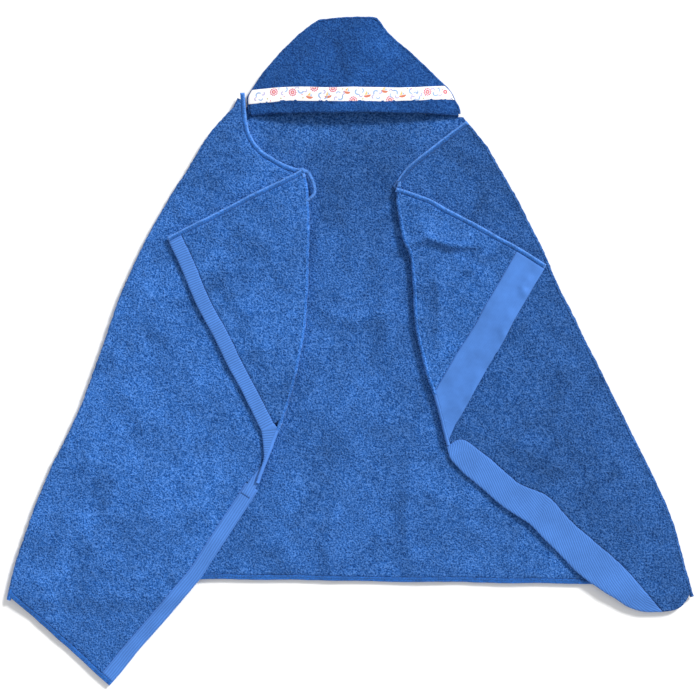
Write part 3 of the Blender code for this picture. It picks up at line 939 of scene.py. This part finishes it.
# The hem pulled out into a small loop where it goes round the top of the left crease
loop_line = np.array([(-0.0100, 0.0035), (0.0020, 0.0020), (0.0085, -0.0100), (0.0135, -0.0270),
                      (0.0120, -0.0320), (0.0045, -0.0400), (-0.0020, -0.0420)]) + LEFT_CREASE_TOP
loop_line = curve_through(loop_line, NARROW, 0.003)
loop_side = normals_of(loop_line) * 0.0026
left_edge_loop = slab(
    "left_corner_edge_loop",
    np.vstack([loop_line - loop_side, (loop_line + loop_side)[::-1]])[::-1], NARROW,
    lambda points: np.full(len(points), FLAP_MID - 0.0005), HEM_HALF, along=loop_line)
dress(left_edge_loop, hem_left, "hem", "left_corner", [])

# Right side
right_wing = cloth_piece("right_side_cloth", "right_wing", right_loop, FINE, right_height,
                         [right_side, right_crease], terry_right_painted_shade, "right_side", terry_under)
right_trims = hemmed(
    ("right_side_top_edge", "right_side_top_stitches"), ("right_wing_top_hem", "right_wing_top_stitch"),
    (0.3, -1), (1, 0.4), right_height, hem_right_painted_shade, "right_side")
right_end_loop = outline("right_wing_end_band")
right_end_outer = stretch(
    right_end_loop, corner_of(right_end_loop, -1, 0.8), corner_of(right_end_loop, 1, -0.7))
right_end_band = band_piece("right_side_end_band", "right_wing_end_band", right_end_loop, right_height,
                            band_slant, "right_side", right_end_outer)
right_fold = fold_pieces("right_side_fold_", back_height, right_height, (
    ("cloth", lengthened(right_side, 0.004, 0.0), HALF, terry_right_painted_shade),))

# Right corner
right_flap = cloth_piece("right_corner_cloth", "right_flap", right_flap_loop, FINE, right_flap_height,
                         [right_flap_fold], terry_flap, "right_corner")
right_flap_trims = hemmed(
    ("right_corner_top_edge", "right_corner_stitches"), ("right_flap_top_hem", "right_flap_hem_stitch"),
    (-1, -0.3), (0.4, -1), right_flap_height, hem_left, "right_corner")
right_band_outer = stretch(right_band_loop, RIGHT_CREASE_LOW, corner_of(right_band_loop, 1, 0.2))
right_flap_band = band_piece("right_corner_end_band", "right_flap_end_band", right_band_loop,
                             right_flap_height, band_plain, "right_corner", right_band_outer,
                             [right_band_fold])
join = nearest(right_crease, RIGHT_CREASE_JOIN)
right_crease_run, right_crease_end = (
    part[::-1] for part in parted(lengthened(right_crease[:join + 1], 0.003, 0.0)[::-1], 0.008))
right_crease_fold = fold_pieces(
    "right_corner_fold_", right_height, right_flap_height, (
        ("cloth", right_crease_run, HALF, terry_painted_highlight),
        ("edge", right_crease_end, HEM_HALF, hem_left),
        ("band", lengthened(right_crease[join:], 0.001, 0.0), BAND_HALF, band_plain)))


# --- the hood -----------------------------------------------------------------------------------

HOOD_OUT = HALF + 0.0004        # how far the hood's edge seam stands out
hood_loop = outline("hood_lower")
hood_rim = curve_through(
    stretch(hood_loop, corner_of(hood_loop, 1, -0.5), corner_of(hood_loop, -1, -3)), 0.004)
hood_seam = hood_rim - normals_of(hood_rim) * HOOD_OUT
HOOD_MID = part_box("hood_upper")[0][2] + HALF
HOOD_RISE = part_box("hood_upper")[1][2] - HALF - HOOD_MID
HOOD_WIDE = np.ptp(hood_rim[:, 0])


def brim(x):
    """The front edge of the hood, bowed a little towards the crown."""
    return HOOD_LINE + 0.0042 - 0.0030 * (x / 0.15) ** 2


def ribbon_front(x):
    return HOOD_LINE + 0.0204 + 0.0148 * x + 0.0012 * np.cos((x + 0.079) * math.pi / 0.122)


def ribbon_back(x):
    return HOOD_LINE + 0.0405 + 0.0110 * x + 0.0012 * np.cos((x + 0.079) * math.pi / 0.122)


def hood_part(rim, low, high=None):
    """The outline of the part of the hood between two lines across it, or from one over the crown."""
    def across(level):
        gap = rim[:, 1] - level(rim[:, 0])
        above = np.flatnonzero(gap > 0)
        first, last = above[0], above[-1]
        right, left = (rim[out] + (rim[kept] - rim[out]) * gap[out] / (gap[out] - gap[kept])
                       for out, kept in ((first - 1, first), (last + 1, last)))
        x = np.linspace(left[0], right[0], 50)
        return first, last, np.column_stack([x, level(x)])

    first, last, line = across(low)
    if high is None:
        return np.vstack([line, rim[first:last + 1]])
    first_high, last_high, line_high = across(high)
    return np.vstack([line, rim[first:first_high], line_high[::-1], rim[last_high + 1:last + 1]])


def hood_height(points):
    """The upper layer: low along its sides and crown, arched up in the middle of the brim."""
    away, _ = near_line(points, hood_rim)
    arch = 1 - (1 - np.clip(away / (0.47 * HOOD_WIDE), 0, 1)) ** 2
    soft = ridges(points, (
        ([(-0.090, 0.372), (-0.060, 0.410), (-0.030, 0.440)], 0.016, 0.0020),
        ([(0.090, 0.372), (0.060, 0.405), (0.035, 0.440)], 0.014, 0.0015),
    ))
    return HOOD_MID + HOOD_RISE * arch + soft + hills(points, 0.07, 36, 0.0010) * ease(away, 0.004, 0.03)


def lower_height(points):
    return np.full(len(points), BACK_MID)


def ribbon_height(points):
    """On top of the hood, turning down over its edge at the two ends."""
    away, _ = near_line(points, hood_rim)
    turn = np.sqrt(np.clip(1 - (1 - np.clip(away / 0.004, 0, 1)) ** 2, 0, 1))
    return hood_height(points) + HALF * turn + 0.0007


hood_top = slab("hood_cloth", hood_part(hood_seam, lambda x: ribbon_front(x) + 0.001), FINE, hood_height,
                HALF, folds=[hood_seam], pile=PILE)
dress(hood_top, terry_hood, "hood_terry", "hood", ["hood_upper"])
brim_hem = slab("hood_brim_edge", hood_part(hood_seam, brim, lambda x: ribbon_front(x) + 0.003), NARROW,
                lambda points: hood_height(points) + 0.0004, 0.00225, folds=[hood_seam], pile=PILE)
dress(brim_hem, terry_hood, "hood_terry", "hood", ["hood_brim_hem"])
hood_edge = fold_roll("hood_edge_cloth", hood_seam[1:-1], lower_height, hood_height, HALF, PILE, HOOD_OUT)
dress(hood_edge, terry_hood, "hood_terry", "hood", [])


def lifting(piece, nodes, material, slot):
    """Cloth of the lower layer, left with no body, its transform baked into its mesh."""
    dress(piece, material, slot, None, nodes)
    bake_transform(piece)
    return piece


yoke_loop = outline("neck_yoke")
lower_loop = np.vstack([
    [(x, HOOD_LINE) for x in np.linspace(hood_seam[-1][0], yoke_loop[:, 0].min(), 12)],
    stretch(hood_loop, corner_of(yoke_loop, -1, -2), corner_of(yoke_loop, 1, -2))[1:-1],
    [(x, HOOD_LINE) for x in np.linspace(yoke_loop[:, 0].max(), hood_seam[0][0], 12)],
    hood_seam[1:-1]])
level_line = np.array([(hood_seam[-1][0], HOOD_LINE), (hood_seam[0][0], HOOD_LINE)])
lower_loop[lower_loop[:, 1] < HOOD_LINE + 0.001, 1] = HOOD_LINE - 0.0004
yoke_loop[yoke_loop[:, 1] < HOOD_LINE + 0.001, 1] = HOOD_LINE - 0.0004
hood_under = slab("hood_lower_cloth", lower_loop, FINE, lower_height, HALF,
                  folds=[hood_seam, level_line], pile=PILE)
lifting(hood_under, ["hood_lower"], terry_hood, "hood_terry")
yoke = slab("neck_yoke_cloth", yoke_loop, FINE, lower_height, HALF, folds=[level_line], pile=PILE)
lifting(yoke, ["neck_yoke"], terry_back, "terry")
arch = stretch(yoke_loop, corner_of(yoke_loop, 1, 0), corner_of(yoke_loop, -1, 0))[2:-2]
arch = curve_through(wander(arch), 0.004)
neck_stitch = stitches("neck_seam_stitches",
                       np.column_stack([arch, np.full(len(arch), BACK_MID + HALF)]), 0.0040, 0.003, 0.0005)
dress(neck_stitch, thread_dark, "blue_thread", "hood", ["neck_seam_stitch"])

# A tab of the hood's cloth that closes the gap between the left shoulder and the hood
x0 = hood_seam[-1][0]
tab_loop = np.array([(x0 - 0.009, HOOD_LINE - 0.006), (x0 + 0.002, HOOD_LINE - 0.006), *hood_seam[:-6:-1],
                     hood_seam[-5] + (-0.003, 0.001), (x0 - 0.009, HOOD_LINE + 0.010)])
shoulder_tab = slab("left_shoulder_tab", tab_loop, NARROW, lower_height, HALF)
dress(shoulder_tab, terry_hood, "hood_terry", "back", [])

# Ribbon, its print and its two rows of stitches
ribbon_loop = hood_part(hood_rim, ribbon_front, ribbon_back)
ribbon_line = np.column_stack([np.linspace(-0.16, 0.16, 40), ribbon_front(np.linspace(-0.16, 0.16, 40))])
ribbon = slab("ribbon_cloth", ribbon_loop, NARROW, ribbon_height, 0.0004, rounding=0.0006,
              along=ribbon_line)
dress(ribbon, ribbon_white, "ribbon", "hood", ["ribbon_trim"])


def hood_row(name, node, level, above, material, slot, inset=0.004):
    """A row of stitches across the hood."""
    ends = hood_part(hood_seam, level)[:50]
    x = np.linspace(ends[0][0] + inset, ends[-1][0] - inset, 120)
    line = wander(np.column_stack([x, level(x)]))
    path = np.column_stack([line, hood_height(line) + above])
    return dress(stitches(name, path, 0.0030, 0.0021, 0.0003), material, slot, "hood", [node])


front_stitch = hood_row("ribbon_front_stitches", "ribbon_stitch_front", lambda x: ribbon_front(x) + 0.0014,
                        HALF + 0.0011, thread_white, "white_thread")
back_stitches = hood_row("ribbon_back_stitches", "ribbon_stitch_back", lambda x: ribbon_back(x) - 0.0014,
                         HALF + 0.0011, thread_white, "white_thread")
brim_stitch = hood_row("brim_hem_stitches", "brim_hem_stitch", lambda x: ribbon_front(x) - 0.0016,
                       HALF + 0.0009, thread_dark, "blue_thread")
crown = hood_rim[np.flatnonzero(hood_rim[:, 1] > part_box("crown_seam_stitch")[0][1])]
crown = wander(crown - normals_of(crown) * 0.005)
crown_stitch = stitches("crown_seam_stitches", np.column_stack([crown, hood_height(crown) + HALF]))
dress(crown_stitch, thread_dark, "blue_thread", "hood", ["crown_seam_stitch"])


def arc(radius, first, last, count=12, centre=(0.0, 0.0)):
    angles = np.radians(np.linspace(first, last, count))
    return np.array(centre) + radius * np.column_stack([np.cos(angles), np.sin(angles)])


def wheel(size):
    """A round figure with twelve lobes."""
    angles = np.linspace(0, 2 * math.pi, 72, endpoint=False)
    reach = size * (0.88 + 0.12 * np.cos(12 * angles))
    return np.column_stack([np.cos(angles), np.sin(angles)]) * reach[:, None]


def strip(line, width):
    """A thin closed shape along a line, pointed at its ends."""
    taper = np.sin(np.linspace(0.12, math.pi - 0.12, len(line)))[:, None] * width / 2
    side = normals_of(line)
    return np.vstack([line + side * taper, (line - side * taper)[::-1]])


PRINT = {
    "wheel": [("rose", wheel(0.0062)), ("white", arc(0.0040, 0, 330)), ("rose", arc(0.0031, 0, 330)),
              ("cream", arc(0.0013, 0, 330))],
    "boat": [("orange", np.vstack([arc(0.0050, 180, 360), [(0.0050, 0.0008), (-0.0050, 0.0008)]])
              * (1, 0.62)),
             ("yellow", np.array([(-0.0036, 0.0012), (0.0004, 0.0012), (0.0006, 0.0072)])),
             ("blue", np.array([(0.0010, 0.0012), (0.0036, 0.0012), (0.0012, 0.0058)]))],
    "curl": [("blue", strip(arc(0.0044, 20, 200), 0.0016)),
             ("lilac", strip(arc(0.0028, 200, 400, centre=(0.0060, 0.0006)), 0.0015)),
             ("blue", strip(arc(0.0036, 190, 330, centre=(0.0010, -0.0042)), 0.0015)),
             ("lilac", strip(arc(0.0026, 60, 250, centre=(-0.0052, -0.0034)), 0.0014))],
    "dot": [("olive", arc(0.0012, 0, 330)), ("rose", arc(0.0009, 0, 330, centre=(0.0042, -0.0030)))],
}
PRINT_COLOURS = {"rose": (0.62, 0.15, 0.22), "white": (0.93, 0.90, 0.92), "cream": (0.90, 0.62, 0.50),
                 "orange": (0.62, 0.20, 0.12), "yellow": (0.86, 0.55, 0.20), "blue": (0.34, 0.48, 0.74),
                 "lilac": (0.52, 0.48, 0.72), "olive": (0.50, 0.44, 0.24)}
# Figure, place along the ribbon and across it from its middle in millimetres, and tilt in degrees
FIGURES = (
    ("curl", 14, 1, 20), ("wheel", 35, 4, 10), ("curl", 50, 7, 250), ("wheel", 62, 2, 25),
    ("curl", 74, 5, 150), ("boat", 86, -4, -10), ("wheel", 93, 9, 0), ("curl", 103, -2, 60),
    ("boat", 112, -3, 8), ("wheel", 119, 8, 15), ("curl", 129, -4, 200), ("boat", 139, 3, -14),
    ("wheel", 148, -9, 30), ("curl", 155, 3, 100), ("boat", 168, -2, 10), ("curl", 181, 1, 20),
    ("boat", 193, 5, -8), ("wheel", 201, -8, 20), ("curl", 208, 2, 300), ("boat", 219, -2, 12),
    ("curl", 233, 4, 70), ("curl", 239, -5, 190), ("wheel", 254, 2, 5), ("curl", 266, 0, 130),
    ("wheel", 280, 1, 25), ("curl", 291, -4, 40), ("dot", 26, -5, 0), ("dot", 45, -6, 60),
    ("dot", 77, -6, 140), ("dot", 133, 7, 20), ("dot", 162, -7, 80), ("dot", 226, 8, 30),
    ("dot", 248, -7, 90), ("dot", 271, 7, 10),
)


def print_on_ribbon():
    """The ribbon's print, as thin flat figures that lie on it and are cut off at its edges."""
    shapes = {name: [] for name in PRINT_COLOURS}
    start = hood_rim[-1][0]
    for figure, along, across, tilt in FIGURES:
        x = start + along / 1000
        angle = math.radians(tilt)
        spin = np.array([[math.cos(angle), math.sin(angle)], [-math.sin(angle), math.cos(angle)]])
        middle = (ribbon_front(x) + ribbon_back(x)) / 2 + across / 1000
        for order, (colour, shape) in enumerate(PRINT[figure]):
            shapes[colour].append((shape @ spin + (x, middle), order))
    for colour, loops in shapes.items():
        points, faces = [], []
        for loop, order in loops:
            loop = half_plane(loop, lambda x: ribbon_front(x) + 0.0004, True)
            if len(loop) > 2:
                loop = half_plane(loop, lambda x: ribbon_back(x) - 0.0004, False)
            if len(loop) < 3 or not inside(loop, hood_seam).all():
                continue
            middle = loop.mean(axis=0)
            rings = [loop * share + middle * (1 - share) for share in (1.0, 0.5)]
            base, count = len(points), len(loop)
            for ring in rings:
                moved = wander(ring)
                points += list(np.column_stack([moved, ribbon_height(ring) + 0.00045 + 0.00005 * order]))
            for k in range(count):
                following = (k + 1) % count
                faces.append((base + k, base + following, base + count + following, base + count + k))
            faces.append(tuple(base + count + k for k in range(count)))
        piece = new_object("ribbon_print_" + colour, points, faces, smooth=False)
        yield dress(piece, printed("print_" + colour, PRINT_COLOURS[colour]), "ribbon", "hood", [])


prints = list(print_on_ribbon())


# --- floor, light and camera --------------------------------------------------------------------

floor_mesh = bpy.data.meshes.new("floor")
corners = ((-1, -1), (1, -1), (1, 1), (-1, 1))
floor_mesh.from_pydata([(FLOOR_REACH * x, FLOOR_REACH * y, FLOOR_LEVEL) for x, y in corners], [],
                       [(0, 1, 2, 3)])
floor = bpy.data.objects.new("floor", floor_mesh)
bpy.context.scene.collection.objects.link(floor)
paper = bpy.data.materials.new("floor_paper")
paper.use_nodes = True
paper.node_tree.nodes["Principled BSDF"].inputs["Base Color"].default_value = (0.93, 0.93, 0.93, 1)
paper.node_tree.nodes["Principled BSDF"].inputs["Roughness"].default_value = 0.9
floor_mesh.materials.append(paper)

world = bpy.data.worlds.new("studio")
bpy.context.scene.world = world
world.use_nodes = True
world.node_tree.nodes["Background"].inputs["Color"].default_value = (1, 1, 1, 1)
world.node_tree.nodes["Background"].inputs["Strength"].default_value = 0.66


def sun(name, strength, angle, bearing, height):
    """A soft distant light, from a compass bearing (0 is the crown's side) and a height in degrees."""
    data = bpy.data.lights.new(name, "SUN")
    data.energy = strength
    data.angle = math.radians(angle)
    light = bpy.data.objects.new(name, data)
    light.rotation_euler = (math.radians(90 - height), 0, math.radians(180 - bearing))
    bpy.context.scene.collection.objects.link(light)


sun("key", 3.6, 14, 42, 36)
bpy.context.scene.view_settings.view_transform = "Standard"

camera_data = bpy.data.cameras.new("camera")
camera_data.lens = 100
camera_data.sensor_width = 36
camera = bpy.data.objects.new("camera", camera_data)
middle = [(cad_box[0][i] + cad_box[1][i]) / 2 for i in range(2)]
camera.location = (middle[0], middle[1] + 0.0014, CAMERA_HEIGHT)
bpy.context.scene.collection.objects.link(camera)
bpy.context.scene.camera = camera


# --- each cloth's size, worked out and not kept, and the end ------------------------------------

def area_of(loop):
    x, y = loop[:, 0], loop[:, 1]
    return float(abs((x * np.roll(y, -1) - y * np.roll(x, -1)).sum()) / 2)


def declare(loop):
    """Works out a sheet's width, length and flat area, and keeps none of them."""
    width, length = (float(side) for side in np.ptp(loop, axis=0))
    area_of(loop)


declare(back_loop)
declare(left_loop)
declare(left_flap_loop)
declare(right_loop)
declare(right_flap_loop)
declare(yoke_loop)
declare(lower_loop)
declare(hood_part(hood_seam, lambda x: ribbon_front(x) + 0.001))
declare(ribbon_loop)
